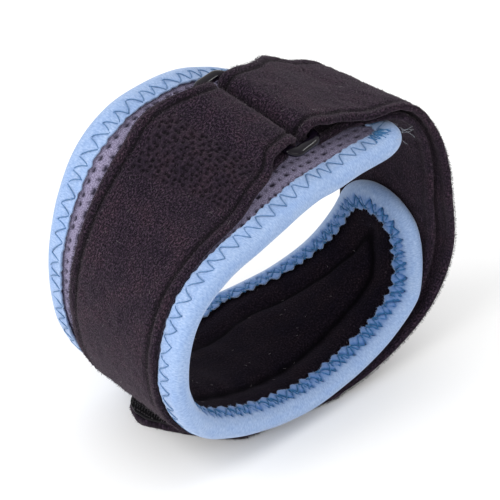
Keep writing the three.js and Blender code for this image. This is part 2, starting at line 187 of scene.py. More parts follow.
def raised(angle, across, height):
    angle, across, height = np.broadcast_arrays(angle, across, height)
    return loop_point(angle, across) + loop_normal(angle, across) * height[..., None]


# Length round the middle of the band, at each degree from its squared end
body_angles = np.arange(BODY_START, BODY_END + 1)
body_lengths = travelled(loop_point(body_angles, 0))
BODY_LENGTH = body_lengths[-1]


def angle_at(place):
    return np.interp(place, body_lengths, body_angles)


def edge_across(place, inset, side):
    """Edge of the flat band: squared end with round corners, and a tongue between tapers."""
    place = np.asarray(place, float)
    level = BODY_WIDTH / 2 - inset
    corner = CORNER_RADIUS - inset
    start = place - inset
    round_end = level - corner + np.sqrt(np.maximum(0, corner**2 - (corner - start) ** 2))
    taper = math.radians(FAR_TAPER if side > 0 else NEAR_TAPER)
    radius = TONGUE_RADIUS - inset
    centre = BODY_LENGTH - place - TONGUE_RADIUS
    on_arc = centre < -radius * math.sin(taper)
    arc = np.sqrt(np.maximum(0, radius**2 - centre**2))
    slope = radius / math.cos(taper) + math.tan(taper) * centre
    tongue = np.minimum(level, side * TONGUE_OFFSET + np.where(on_arc, arc, slope))
    return side * np.where(start < corner, round_end, tongue)


EDGE_BLEND = 1.6


def edge_distance(place, across):
    """Distance of a place on the flat band from its edge, eased where two edges are as near."""
    far = edge_across(place, 0, 1) - across
    near = across - edge_across(place, 0, -1)
    end = BODY_LENGTH - TONGUE_RADIUS - place
    tip = TONGUE_RADIUS - np.hypot(np.minimum(end, 0), across - TONGUE_OFFSET)
    sides = -EDGE_BLEND * np.log(sum(np.exp(-np.maximum(d, 0) / EDGE_BLEND) for d in (far, near, place)))
    return np.where(end < 0, np.minimum(sides, tip), sides)


def waves(seed, points, size, count=6):
    """Smooth noise between about -1 and 1: a sum of plane waves of about one size."""
    source = np.random.default_rng(seed)
    total = np.zeros(points.shape[:-1])
    for _ in range(count):
        direction = unit(source.normal(size=points.shape[-1]))
        length = size * source.uniform(0.7, 1.6)
        phase = source.uniform(0, 2 * math.pi)
        total += np.sin(points @ direction * (2 * math.pi / length) + phase)
    return total / math.sqrt(count)


def smoothed(rows, reach):
    """Rows of numbers eased along their length. It takes off as many rows as its reach at each end."""
    window = np.hanning(2 * reach + 3)[1:-1]
    window /= window.sum()
    return np.stack([np.convolve(column, window, "valid") for column in rows.T], -1)


def make_mesh(name, points, faces, material, cloth, pit_shade=None, smooth=True):
    """Object from points in millimetres about the loop's middle, with cloth values and amounts of painted
    shade on them.
    """
    mesh = bpy.data.meshes.new(name)
    placed = (np.asarray(points, float).reshape(-1, 3) + LOOP_MIDDLE) * MM
    mesh.from_pydata(placed.tolist(), [], faces)
    layers = [("cloth", "FLOAT_VECTOR", "vector", cloth)]
    if pit_shade is not None:
        layers.append(("pit_shade", "FLOAT", "value", pit_shade))
    for key, kind, field, values in layers:
        layer = mesh.attributes.new(key, kind, "POINT")
        layer.data.foreach_set(field, np.ravel(values).astype(np.float32))
    mesh.materials.append(material)
    mesh.validate()
    if smooth:
        mesh.polygons.foreach_set("use_smooth", [True] * len(mesh.polygons))
    piece = bpy.data.objects.new(name, mesh)
    bpy.context.scene.collection.objects.link(piece)
    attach(piece, "root")
    return piece


def flat_places(along, over):
    """Places on flat cloth, where its noise is read."""
    return np.stack([along, over, 0 * over], -1)


def tube_faces(rings, size, closed_along, start=0):
    """Quads between rings of points, and end caps unless the rings close on themselves."""
    ring = np.arange(rings if closed_along else rings - 1)[:, None]
    spot = np.arange(size)
    following = (ring + 1) % rings * size
    beside = (spot + 1) % size
    corners = [ring * size + spot, ring * size + beside, following + beside, following + spot]
    faces = (np.stack(corners, -1).reshape(-1, 4) + start).tolist()
    if not closed_along:
        faces += strip_cap(size, start, True) + strip_cap(size, start + (rings - 1) * size, False)
    return faces


def strip_cap(size, base, first):
    """Quads across an end ring, between its two long sides."""
    faces = []
    low, high = 0, size - 1
    while high - low >= 2:
        if high - low == 2:
            face = [low, low + 1, high]
        else:
            face = [low, low + 1, high - 1, high]
        order = face[::-1] if first else face
        faces.append([base + corner for corner in order])
        low, high = low + 1, high - 1
    return faces


def make_tube(name, points, material, cloth, pit_shade=None, closed=False):
    """Object of rings of points, capped at both ends unless it closes on itself."""
    return make_mesh(name, points, tube_faces(*points.shape[:2], closed), material, cloth, pit_shade)


# Materials
def look(
    name, grain, stops, colors, bump, roughness, sheen=0.0, sheen_tint=(1, 1, 1), specular=0.3,
    clouds=None, tints=None, pit_shade=None,
):
    """Material that follows the meshes' cloth values and amounts of painted shade.

    A grain of noise over the cloth gives colours at stops up it, and a bump in millimetres.
    Clouds of larger noise multiply them by tints, and the pit colour, painted shade, is mixed in by those
    amounts.
    """
    material = bpy.data.materials.new(name)
    material.use_nodes = True
    tree = material.node_tree

    def fill(node, values):
        for key, value in values.items():
            if isinstance(value, bpy.types.NodeSocket):
                tree.links.new(value, node.inputs[key])
            else:
                node.inputs[key].default_value = value

    def add(kind, values, output):
        node = tree.nodes.new(kind)
        fill(node, values)
        return node.outputs[output]

    def attribute(key, output):
        node = tree.nodes.new("ShaderNodeAttribute")
        node.attribute_name = key
        return node.outputs[output]

    def noise(stretch, scale=1.0, detail=3.0, roughness=0.55):
        cloth = attribute("cloth", "Vector")
        places = add("ShaderNodeMapping", {"Vector": cloth, "Scale": (*stretch, 1)}, "Vector")
        values = {"Vector": places, "Scale": scale, "Detail": detail, "Roughness": roughness}
        return add("ShaderNodeTexNoise", values, "Fac")

    def ramp(factor, rows):
        color = add("ShaderNodeValToRGB", {"Fac": factor}, "Color")
        elements = color.node.color_ramp.elements
        for index, (place, shade) in enumerate(rows):
            element = elements[index] if index < 2 else elements.new(place)
            element.position = place
            element.color = (*shade, 1)
        return color

    def mixed(factor, first, second, mode):
        node = tree.nodes.new("ShaderNodeMix")
        node.data_type = "RGBA"
        node.blend_type = mode
        inputs = [socket.type for socket in node.inputs]
        color = inputs.index("RGBA")
        fill(node, {inputs.index("VALUE"): factor, color: first, color + 1: second})
        return next(socket for socket in node.outputs if socket.type == "RGBA")

    height = noise(*grain)
    color = ramp(height, zip(stops, colors))
    if clouds:
        color = mixed(1.0, color, ramp(noise(*clouds), tints), "MULTIPLY")
    if pit_shade:
        # Painted shade: the pit colour is mixed in by each point's shade amount
        color = mixed(attribute("pit_shade", "Fac"), color, (*pit_shade, 1), "MIX")
    strength, depth = bump
    values = {"Strength": strength, "Distance": depth * MM, "Height": height}
    fill(tree.nodes["Principled BSDF"], {
        "Roughness": roughness,
        "Sheen Weight": sheen,
        "Sheen Roughness": 0.5,
        "Sheen Tint": (*sheen_tint, 1),
        "Specular IOR Level": specular,
        "Base Color": color,
        "Normal": add("ShaderNodeBump", values, "Normal"),
    })
    return material


# Brushed loop cloth: streaky nap, light tips and dark gaps
NAPPED = dict(
    grain=((0.9, 1.2), 1.75, 4, 0.68), stops=(0.38, 0.5, 0.62), bump=(0.8, 0.4),
    roughness=0.95, sheen=0.1, sheen_tint=(0.75, 0.62, 0.72), specular=0.1,
    # The pit colour is painted shade, in the strap's hem grooves and the patch's pits
    clouds=((0.12, 0.12), 1.0, 4), pit_shade=(0.0015, 0.001, 0.002),
    tints=[(0.35, (0.72, 0.7, 0.8)), (0.5, (1.0, 0.97, 1.02)), (0.65, (1.28, 1.14, 1.12))],
)
velour = look(
    "velour", colors=((0.0015, 0.001, 0.002), (0.0092, 0.0054, 0.0108), (0.049, 0.031, 0.047)), **NAPPED,
)
sewn_velour = look(
    "sewn_velour", colors=((0.007, 0.0045, 0.008), (0.014, 0.009, 0.0155), (0.034, 0.022, 0.033)), **NAPPED,
)

# Short dark fleece
fleece = look(
    "fleece", grain=((1, 1), 1.6, 5, 0.75), stops=(0.38, 0.52, 0.66), bump=(0.7, 0.4),
    colors=((0.001, 0.0008, 0.0015), (0.0065, 0.005, 0.0085), (0.026, 0.018, 0.025)),
    roughness=1.0, sheen=0.04, sheen_tint=(0.6, 0.5, 0.7), specular=0.05,
    clouds=((0.08, 0.14), 1.0, 2), tints=[(0.35, (0.75, 0.75, 0.9)), (0.65, (1.3, 1.15, 1.1))],
    # The pit colour is painted shade in the groove round the pad
    pit_shade=(0.0006, 0.0005, 0.001),
)

# Knitted mesh: fine loops between its open holes
mesh_cloth = look(
    "mesh_cloth", grain=((2.2, 3.2), 1.0, 3, 0.6), stops=(0.34, 0.5, 0.66), bump=(0.6, 0.3),
    colors=((0.1, 0.088, 0.15), (0.205, 0.182, 0.275), (0.34, 0.31, 0.44)),
    # The pit colour is painted shade in the holes
    roughness=0.85, sheen=0.12, sheen_tint=(0.8, 0.75, 0.95), specular=0.2, pit_shade=(0.022, 0.018, 0.034),
)

# Soft woven tape: fine cross ribs and a little fuzz
tape = look(
    "binding_tape", grain=((2.6, 0.9), 1.0, 3, 0.6), stops=(0.3, 0.5, 0.72), bump=(0.45, 0.22),
    colors=((0.19, 0.28, 0.475), (0.25, 0.355, 0.56), (0.34, 0.445, 0.645)),
    roughness=0.85, sheen=0.3, sheen_tint=(0.9, 0.94, 1), specular=0.15,
    clouds=((0.12, 0.3), 1.0, 3), tints=[(0.3, (0.86, 0.9, 0.96)), (0.7, (1.08, 1.04, 1.0))],
    # The pit colour is painted shade, in the seams' dents and over the inner leg
    pit_shade=(0.01, 0.1, 0.34),
)

# Twisted sewing threads and loose fibres, each between a dark and a light colour
threads = {
    name: look(name, ((1, 1), 3.0, 2), (0.3, 0.7), colors, (0.4, 0.1), roughness=0.6, sheen=0.2)
    for name, colors in {
        "blue_thread": ((0.005, 0.065, 0.19), (0.025, 0.17, 0.38)),
        "pale_thread": ((0.03, 0.095, 0.22), (0.1, 0.215, 0.4)),
        # Lighter than the velour: painted highlights on the nap's tips
        "nap_highlight_fibre": ((0.006, 0.004, 0.008), (0.11, 0.08, 0.105)),
        "grey_thread": ((0.16, 0.18, 0.22), (0.4, 0.43, 0.48)),
        "lint_fibre": ((0.05, 0.04, 0.045), (0.19, 0.16, 0.18)),
    }.items()
}

# Moulded gloss plastic with faint scuffs
plastic = look(
    "ring_plastic", grain=((0.5, 2.0), 1.0, 5, 0.7), stops=(0.35, 0.75), bump=(0.12, 0.05),
    colors=((0.002, 0.001, 0.003), (0.006, 0.004, 0.009)), roughness=0.1, specular=0.2,
)

# Stiff nylon of the hooks and of their base
NYLON = dict(grain=((1.1, 1.1),), stops=(0.3, 0.7), bump=(0.2, 0.2), roughness=0.5, sheen=0.05)
base_nylon = look(
    "base_nylon", colors=((0.0015, 0.001, 0.002), (0.005, 0.004, 0.006)), specular=0.1, **NYLON,
)
hook_nylon = look("hook_nylon", colors=((0.01, 0.009, 0.011), (0.1, 0.09, 0.1)), **NYLON)


# The band's two cloth layers
EDGE_INSET = TAPE_FOLD + FACE_GAP
LINING_TOP = -SHELL_THICKNESS - LAYER_GAP
BAND_FLOOR = LINING_TOP - LINING_THICKNESS
PAD_EDGE = (BODY_WIDTH - PAD_WIDTH) / 2
TAPE_TOP = FACE_GAP + TAPE_THICKNESS
TAPE_FLOOR = BAND_FLOOR - FACE_GAP - TAPE_THICKNESS

# Rise of the inner face, by distance from the band's edge
padding = Table(("at", "rise"), [
    (TAPE_REACH, 0.6),
    (TAPE_REACH + 0.5 * (PAD_EDGE - TAPE_REACH), SIDE_RISE + 0.3),
    (PAD_EDGE - 0.6, -0.1),
    (PAD_EDGE + 1.2, 1.0),
    (PAD_EDGE + 0.2 * PAD_WIDTH, 0.9 * PAD_RISE),
    (BODY_WIDTH / 2, PAD_RISE),
])


def body_places(inset, step):
    """Places of the columns along the band, closer at its round ends."""
    corner = CORNER_RADIUS - inset
    tongue = TONGUE_RADIUS - inset
    end = BODY_LENGTH - TONGUE_RADIUS
    turns = np.radians(np.linspace(0, 88, 24))
    start = inset + corner * (1 - np.cos(turns[:-1]))
    straight = np.arange(CORNER_RADIUS, end, step)
    tip = end + tongue * np.sin(turns)
    return np.concatenate([start, straight, tip])


def slab(name, material, step, top_count, bottom_count, top_height, bottom_height, pits):
    """Slab of the band between two heights over its outer face, with the amounts of painted shade that pits
    gives.
    """
    places = body_places(EDGE_INSET, step)
    near = edge_across(places, EDGE_INSET, -1)
    far = edge_across(places, EDGE_INSET, 1)
    angles = angle_at(places)
    rows = []
    for count, height, back in ((top_count, top_height, False), (bottom_count, bottom_height, True)):
        shares = np.linspace(0, 1, count)
        across = near[:, None] + (far - near)[:, None] * (shares[::-1] if back else shares)
        place = np.repeat(places[:, None], count, 1)
        angle = np.repeat(angles[:, None], count, 1)
        points = raised(angle, across, height(place, across))
        rows.append((points, place, across, pits(place, across, back)))
    points, place, across, pit_shade = (np.concatenate(row, 1) for row in zip(*rows))
    return make_tube(name, points, material, flat_places(place, across), pit_shade)


# Holes of the mesh cloth: pitch along and across, and half sizes
HOLE_PITCH = (3.5, 2.7)
HOLE_SIZE = (0.85, 0.55)
HOLE_DEPTH = 0.8


def hole_share(place, across):
    """1 in the middle of a hole, 0 between the holes, which stand in staggered rows."""
    row = np.round(across / HOLE_PITCH[1])
    shift = np.where(np.mod(row, 2) > 0.5, 0.5, 0.0)
    jitter = 0.12 * np.sin(row * 12.9898 + np.round(place / HOLE_PITCH[0]) * 78.233)
    column = np.round(place / HOLE_PITCH[0] - shift)
    x = (place - (column + shift + jitter) * HOLE_PITCH[0]) / HOLE_SIZE[0]
    y = (across - row * HOLE_PITCH[1]) / HOLE_SIZE[1]
    return 1 - smoothstep(0.55, 1.25, np.hypot(x, y))


def shell_top(place, across):
    """Height of the mesh cloth: soft, and sunk in its holes."""
    soft = 0.12 * waves(1, np.stack([place, across], -1), 14)
    return soft - HOLE_DEPTH * hole_share(place, across) - 0.15


def lining_bottom(place, across):
    """Height of the fleece: padded, wrinkled along the pad's edge."""
    distance = edge_distance(place, across)
    spots = np.stack([place, across], -1)
    drag = np.exp(-(((distance - PAD_EDGE) / 4.0) ** 2))
    wrinkles = 0.22 * waves(2, spots * (1.0, 0.35), 9) * (0.4 + drag)
    soft = 0.25 * waves(3, spots, 22) * smoothstep(TAPE_REACH, PAD_EDGE, distance)
    off_tape = smoothstep(TAPE_REACH, TAPE_REACH + 3, distance)
    return BAND_FLOOR - padding.value("rise", distance) - wrinkles * off_tape - soft


def groove_shade(place, across, back):
    """Painted shade: how much the fleece is darkened in the groove round its pad."""
    distance = edge_distance(place, across)
    groove = np.exp(-(((distance - PAD_EDGE + 0.4) / 1.0) ** 2))
    return 0.95 * groove if back else 0 * place


shell = slab(
    "shell_cloth", mesh_cloth, step=0.5, top_count=112, bottom_count=12,
    top_height=shell_top, bottom_height=lambda place, across: -SHELL_THICKNESS + 0 * place,
    # Painted shade: the mesh is darkened in its holes
    pits=lambda place, across, back: 0 * place if back else hole_share(place, across),
)
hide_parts("shell")

lining = slab(
    "lining_fleece", fleece, step=0.9, top_count=12, bottom_count=84,
    top_height=lambda place, across: LINING_TOP + 0 * place, bottom_height=lining_bottom,
    pits=groove_shade,
)
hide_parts("lining")


# Folded tape round the band's edge
def edge_path(step):
    """Points and inward directions round the flat band's edge, evenly spaced."""
    fine = 0.25
    sides = []
    for sign in (-1, 1):
        taper = math.radians(FAR_TAPER if sign > 0 else NEAR_TAPER)
        corner = CORNER_RADIUS * (1 - np.cos(np.radians(np.arange(0, 90, 2.0))))
        tangent = BODY_LENGTH - TONGUE_RADIUS + TONGUE_RADIUS * math.sin(taper)
        places = np.concatenate([corner, np.arange(CORNER_RADIUS, tangent, fine)])
        sides.append(np.stack([places, edge_across(places, 0, sign)], -1))
    turns = np.radians(np.arange(-90 + NEAR_TAPER, 90 - FAR_TAPER, 1.0))
    arc = np.stack([
        BODY_LENGTH - TONGUE_RADIUS + TONGUE_RADIUS * np.cos(turns),
        TONGUE_OFFSET + TONGUE_RADIUS * np.sin(turns),
    ], -1)
    level = BODY_WIDTH / 2 - CORNER_RADIUS
    end = np.stack([np.zeros(160), np.linspace(level, -level, 160)], -1)
    path = np.concatenate([sides[0], arc, sides[1][::-1], end])
    length = travelled(path)
    count = int(round(length[-1] / step))
    spots = np.arange(count) * length[-1] / count
    even = np.stack([np.interp(spots, length, path[:, k]) for k in (0, 1)], -1)
    reach = max(1, int(round(3.0 / step)))
    even = smoothed(np.concatenate([even[-reach:], even, even[:reach]]), reach)
    forward = unit(np.roll(even, -2, 0) - np.roll(even, 2, 0))
    inward = np.stack([-forward[:, 1], forward[:, 0]], -1)
    return even, inward, spots, length[-1]


# Zigzag seams: a stitch's length, how far inward its two rows are, and its first stroke's share of it
STITCH_PITCH = 4.9
INNER_ROW = 7.0
OUTER_ROW = 3.3
OUTER_STROKE = 0.6
INNER_STROKE = 0.28
CROSS_STROKE = 0.62
path_points, path_inward, path_spots, PATH_LENGTH = edge_path(0.5)


def on_path(spots, inward, height):
    """Points at distances along the edge, inward from it and over the band's outer face."""
    spots = np.mod(spots, PATH_LENGTH)
    wrapped = np.append(path_spots, PATH_LENGTH)
    place, across, to_place, to_across = (
        np.interp(spots, wrapped, np.append(source[:, k], source[0, k]))
        for source in (path_points, path_inward) for k in (0, 1)
    )
    at_place = place + inward * to_place
    at_across = across + inward * to_across
    return raised(angle_at(np.clip(at_place, 0, BODY_LENGTH)), at_across, height)


# Stitches counted along the bent edge, slightly uneven, at the path's spots
path_closed = np.append(path_spots, PATH_LENGTH)
path_turns = travelled(on_path(path_closed, (INNER_ROW + OUTER_ROW) / 2, 0))
STITCH_COUNT = int(round(path_turns[-1] / STITCH_PITCH))
path_turns *= STITCH_COUNT / path_turns[-1]
for share, amount in ((0.31, 0.1), (0.83, 0.05)):
    path_turns += amount * np.sin(2 * math.pi * round(share * STITCH_COUNT) / STITCH_COUNT * path_turns)


def turn_at(spots):
    return np.interp(np.mod(spots, PATH_LENGTH), path_closed, path_turns)


def zigzag(turns, stroke):
    """How far a zigzag is inward after so many stitches: 0 at its outer row, 1 at its inner one."""
    turn = np.mod(turns, 1)
    level = np.where(turn < stroke, turn / stroke, (1 - turn) / (1 - stroke))
    return 0.5 * level + 0.25 - 0.25 * np.cos(np.pi * level)


def stitch_pull(turns, inward, stroke, depth, width, phase=0.0):
    """Dent that the zigzag thread pulls into the tape."""
    level = zigzag(turns + phase, stroke)
    line = OUTER_ROW + (INNER_ROW - OUTER_ROW) * level
    return depth * np.exp(-(((inward - line) / width) ** 2)) * (0.6 + 0.5 * np.abs(2 * level - 1) ** 3)


def inner_rise(inward):
    """How far the tape's inner leg slopes towards the arm, up on the padding."""
    return -1.1 * smoothstep(2.0, TAPE_REACH, inward)


def leg_shift(spots, turns):
    """How far the free edges of the tape's two legs wander: outer leg, inner leg."""
    fray = 0.24 * waves(6, np.stack([spots, 0 * spots], -1), 1.7)
    scallop = 0.3 + 0.6 * np.cos(2 * np.pi * (turns - INNER_STROKE))
    return fray, fray - scallop


# The tape's section: points on a leg and round the roll, and the strength and limit of the shade painted
# into its colour
LEG_COUNT = 15
ROLL_COUNT = 21
SEAM_SHADE = 0.68
SHADE_LIMIT = 0.8


def make_binding():
    """Tape with a round roll over the edge, dented by its seams, and a plain inside under its legs."""
    middle = (TAPE_TOP + TAPE_FLOOR) / 2
    radius = (TAPE_TOP - TAPE_FLOOR) / 2
    leg = np.linspace(TAPE_REACH, radius, LEG_COUNT)
    roll = np.radians(np.linspace(90, 270, ROLL_COUNT))[1:-1]
    inward = np.concatenate([leg, radius * (1 + np.cos(roll)), leg[::-1]])
    level = np.ones(LEG_COUNT)
    height = np.concatenate([TAPE_TOP * level, middle + radius * np.sin(roll), TAPE_FLOOR * level])
    out = np.concatenate([level, np.sin(roll), -level])
    under = [
        (TAPE_REACH + 0.15, TAPE_FLOOR + 0.4 * TAPE_THICKNESS),
        (TAPE_REACH, TAPE_FLOOR + TAPE_THICKNESS),
        (TAPE_FOLD + 1.5, TAPE_FLOOR + TAPE_THICKNESS),
        (TAPE_FOLD, BAND_FLOOR),
        (TAPE_FOLD, 0.0),
        (TAPE_FOLD + 1.5, FACE_GAP),
        (TAPE_REACH, FACE_GAP),
        (TAPE_REACH + 0.15, TAPE_TOP - 0.4 * TAPE_THICKNESS),
    ]
    spots = path_spots[:, None]
    inward, height, under_in, under_height = (
        np.repeat(np.array(row)[None], len(path_spots), 0) for row in (inward, height, *zip(*under))
    )
    flat = np.abs(out) ** 4
    outer = (out > 0) * flat
    inner = (out < 0) * flat
    turns = turn_at(spots)
    outer_pull = stitch_pull(turns, inward, OUTER_STROKE, depth=0.35, width=0.5) * outer
    inner_pull = (
        stitch_pull(turns, inward, INNER_STROKE, depth=1.05, width=0.7)
        + stitch_pull(turns, inward, CROSS_STROKE, depth=0.5, width=0.5, phase=0.5)
    ) * inner
    soft = 0.14 * waves(5, np.stack([spots + 0 * inward, inward * 3], -1), 12)
    puff = 0.35 * inner * np.sin(np.pi * np.clip((inward - 1) / (TAPE_REACH - 1), 0, 1))
    rise = inner * inner_rise(inward)
    height = height - outer_pull + inner_pull + soft * flat - puff + rise
    legs = smoothstep(TAPE_REACH - 2.5, TAPE_REACH, inward)
    outer_shift, inner_shift = leg_shift(spots, turns)
    inward = inward + legs * (outer_shift * outer + inner_shift * inner)
    under_in[:, :2] += inward[:, -1:] - TAPE_REACH
    under_height[:, :2] += inner_rise(TAPE_REACH)
    under_in[:, -2:] += inward[:, :1] - TAPE_REACH
    all_in = np.concatenate([inward, under_in], 1)
    all_height = np.concatenate([height, under_height], 1)
    spots = spots + 0 * all_in
    points = on_path(spots, all_in, all_height)[:, ::-1]
    # Painted shade: the colour darkens in the seams' dents and over the inner leg, up to a limit
    leg_shade = SEAM_SHADE * inner * smoothstep(OUTER_ROW - 1.5, OUTER_ROW + 1, inward)
    seam_and_leg_shade = np.concatenate([outer_pull * 0.3 + inner_pull * 0.9 + leg_shade, 0 * under_in], 1)[:, ::-1]
    girth = np.cumsum(np.append(0, np.hypot(np.diff(all_in[0]), np.diff(all_height[0]))))[::-1]
    cloth = flat_places(spots, girth + 0 * spots)
    return make_tube("binding_tape", points, tape, cloth, np.clip(seam_and_leg_shade * 0.75, 0, SHADE_LIMIT), True)


binding = make_binding()
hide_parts("edge_binding")


def thread_tubes(name, lines, radius, material, sides=6):
    """Round threads along lines of points."""
    points, faces, cloth = [], [], []
    start = 0
    turns = np.arange(sides) * 2 * math.pi / sides
    for line in lines:
        line = np.asarray(line, float)
        forward = unit(np.gradient(line, axis=0))
        aside = unit(np.cross(forward, np.array([0.31, 0.52, 0.79])))
        upward = np.cross(forward, aside)
        ring = (
            line[:, None]
            + radius * np.cos(turns)[None, :, None] * aside[:, None]
            + radius * np.sin(turns)[None, :, None] * upward[:, None]
        )
        points.append(ring.reshape(-1, 3))
        faces += tube_faces(len(line), sides, False, start)
        cloth.append(flat_places(np.repeat(travelled(line), sides), np.tile(turns * radius, len(line))))
        start += len(line) * sides
    return make_mesh(name, np.concatenate(points), faces, material, np.concatenate(cloth))


# Radii of the seams' threads, and how unevenly they are sewn
OUTER_THREAD = 0.16
INNER_THREAD = 0.25
SEWN_INWARD = 0.16
SEWN_ALONG = 0.12


def stitch_lines(height, sign, stroke_share, phase=0.0, spread=1.0):
    """One short thread for each stroke of the zigzag, its ends sunk into the tape."""
    lines = []
    source = np.random.default_rng(int(11 + 10 * phase + sign))
    steps = np.linspace(0, 1, 9)
    middle = (INNER_ROW + OUTER_ROW) / 2
    for stroke in range(2 * STITCH_COUNT):
        start, end = (stroke_share, 1) if stroke % 2 else (0, stroke_share)
        turns = stroke // 2 + (1e-4 + start + (end - start - 2e-4) * steps)
        level = zigzag(turns, stroke_share)
        inward = OUTER_ROW + (INNER_ROW - OUTER_ROW) * level
        inward = middle + (inward - middle) * spread + source.normal(0, SEWN_INWARD)
        spots = np.interp(np.mod(turns - phase, STITCH_COUNT), path_turns, path_closed)
        spots = spots + source.normal(0, SEWN_ALONG) + 0.3 * np.sin(np.pi * steps)
        bow = 0.14 * np.sin(np.pi * steps)
        sink = 0.4 * np.abs(2 * steps - 1) ** 6
        rise = inner_rise(inward) if sign < 0 else 0
        lines.append(on_path(spots, inward, height + rise + sign * (bow - sink)))
    return lines


outer_stitch = thread_tubes(
    "outer_stitch", stitch_lines(TAPE_TOP - 0.05, 1, OUTER_STROKE), OUTER_THREAD, threads["pale_thread"], 5,
)
inner_stitch = thread_tubes(
    "inner_stitch",
    stitch_lines(TAPE_FLOOR + 0.25, -1, INNER_STROKE)
    + stitch_lines(TAPE_FLOOR + 0.1, -1, CROSS_STROKE, 0.5, 0.9),
    INNER_THREAD, threads["blue_thread"], 5,
)


# Levels of the strap over the band in layers of it, and its place in the ring
LAYER_PITCH = STRAP_THICKNESS + STRAP_GAP
TURN_RADIUS = RING_THICKNESS / 2 + FACE_GAP + STRAP_THICKNESS / 2
ON_TAPE = TAPE_TOP / LAYER_PITCH
ON_RING = 2 * TURN_RADIUS / LAYER_PITCH
GRIPPED = STRAP_IN_RING / STRAP_WIDTH
RING_CENTRE = -0.03

STRAP_COLUMNS = ("at", "layer", "centre", "width")
hidden_run = Table(STRAP_COLUMNS, [(at, 0, RING_CENTRE, GRIPPED) for at in (HIDDEN_END, HIDDEN_START)])
first_lap = Table(STRAP_COLUMNS, [
    (LAP_START, ON_RING + 0.45, RING_CENTRE, GRIPPED),
    (106, 1.5, -0.03, 0.93),
    (111, 1.1, -0.02, 0.98),
    (120, 1.1, -0.03, 1),
    (128, 0, -0.05, 1),
    (150, 0, -0.08, 1),
    (180, 0, -0.09, 1),
    (210, 0, -0.09, 1),
    (270, 0, -0.08, 1),
    (285, 0.1, -0.1, 1),
    (300, ON_TAPE, -0.15, 1),
    (330, ON_TAPE, -0.26, 1),
    (360, ON_TAPE, -0.31, 1),
    (385, ON_TAPE, -0.3, 1),
    (400, ON_TAPE + 0.15, -0.21, 1),
    (412, ON_TAPE + 0.15, 0.0, 0.93),
    (422, 0.1, 0.0, 0.87),
    (LAP_END, 0, RING_CENTRE, GRIPPED),
])
tail = Table(STRAP_COLUMNS, [
    (262, 1.05, -0.05, 1),
    (272, 1.05, -0.12, 1),
    (292, 1.45, -0.23, 1),
    (315, 1.65, -0.31, 1),
    (334, 1.6, -0.4, 1),
    (350, 1.5, -0.46, 1),
    (365, 1.45, -0.48, 1),
    (380, 1.45, -0.43, 1),
    (395, 1.6, -0.31, 1),
    (408, 1.9, -0.16, 1),
    (419, 2.2, -0.04, 0.95),
    (427, 2.6, -0.03, 0.9),
    (TAIL_START, ON_RING + 0.95, RING_CENTRE, GRIPPED),
])
no_lift = Table(("at", "lift"), [(0, 0), (360, 0)])
tail_lift = Table(("at", "lift"), [(396, 0), (406, 0.25), (416, 0.5), (425, 0.4), (TAIL_START, 0)])


def strap_run(rows, lifts, start, end, facing):
    """Stations of the strap along the band: near edge, far edge, and each edge's normal."""
    angles = np.linspace(start, end, abs(end - start) + 1)
    layer = rows.value("layer", angles)
    centre = rows.value("centre", angles) * BODY_WIDTH / 2
    half = rows.value("width", angles) * STRAP_WIDTH / 2
    height = STRAP_GAP + STRAP_THICKNESS / 2 + layer * LAYER_PITCH
    lift = lifts.value("lift", angles) * LAYER_PITCH
    return np.stack([
        raised(angles, centre - half, height),
        raised(angles, centre + half, height + lift),
        loop_normal(angles, centre - half) * facing,
        loop_normal(angles, centre + half) * facing,
    ], 1), angles


# Ring: its size, its middle, and its long, upward and short directions
RING_ACROSS = RING_CENTRE * BODY_WIDTH / 2
RING_LENGTH = STRAP_IN_RING + 2 * RING_CLEARANCE + 2 * RING_BAR
ring_height = STRAP_GAP + STRAP_THICKNESS / 2 + TURN_RADIUS + RING_RISE
ring_middle = raised(RING_ANGLE, RING_ACROSS, ring_height)
ring_long = loop_point(RING_ANGLE, RING_ACROSS + RING_LENGTH / 2)
ring_long = ring_long - loop_point(RING_ANGLE, RING_ACROSS - RING_LENGTH / 2)
ring_long = unit(ring_long + np.array([-RING_LENGTH * math.tan(math.radians(RING_SKEW)), 0, 0]))
ring_up = unit(np.cross(ring_long, [-1, 0, 0]))
ring_short = unit(np.cross(ring_long, ring_up))


def strap_turn(side):
    """Stations of the half turn round one of the ring's long bars."""
    bar_middle = side * (RING_SPAN - RING_BAR) / 2
    turn_middle = bar_middle - side * (RING_BAR - RING_THICKNESS) / 2
    turns = np.radians(np.linspace(-90, 90, 15))
    radial = -side * np.cos(turns)[:, None] * ring_short + np.sin(turns)[:, None] * ring_up
    centre = ring_middle + ring_short * turn_middle + radial * TURN_RADIUS
    half = ring_long * STRAP_IN_RING / 2
    return np.stack([centre - half, centre + half, radial * side, radial * side], 1)


# The tail lies on the ground where it would run below the band's lowest part
tail_stations, tail_angles = strap_run(tail, tail_lift, TAIL_START, TAIL_END, 1)
ground = tail_stations[:, :2, 2].min()
rest_x = loop_point(TAIL_REST, 0)[0]
for edge in (0, 1):
    resting = (tail_stations[:, edge, 2] < 0) & (tail_stations[:, edge, 0] <= rest_x)
    tail_stations[resting, edge, 2] = ground
    tail_stations[resting, edge + 2] = (0, 0, -1)
tip_start = tail_stations[-1, 0, 0]

# Free tip: at shares of its length, what its two edges lose in shares of the strap's width
tip_rows = Table(("at", "near", "far", "centre"), [
    (0, 0, 0, -0.08),
    (0.5, 0, 0, 0),
    (0.65, 0.12, 0, 0),
    (0.78, 0.29, 0.02, 0),
    (0.92, 0.51, 0.09, 0),
    (1, 0.68, 0.22, 0),
])


def tip_edges(reach, border):
    """Places across of the free tip's two edges, a border in from each."""
    centre = tip_rows.value("centre", reach) * BODY_WIDTH / 2
    near = centre - STRAP_WIDTH / 2 + tip_rows.value("near", reach) * STRAP_WIDTH + border
    far = centre + STRAP_WIDTH / 2 - tip_rows.value("far", reach) * STRAP_WIDTH - border
    return near, far


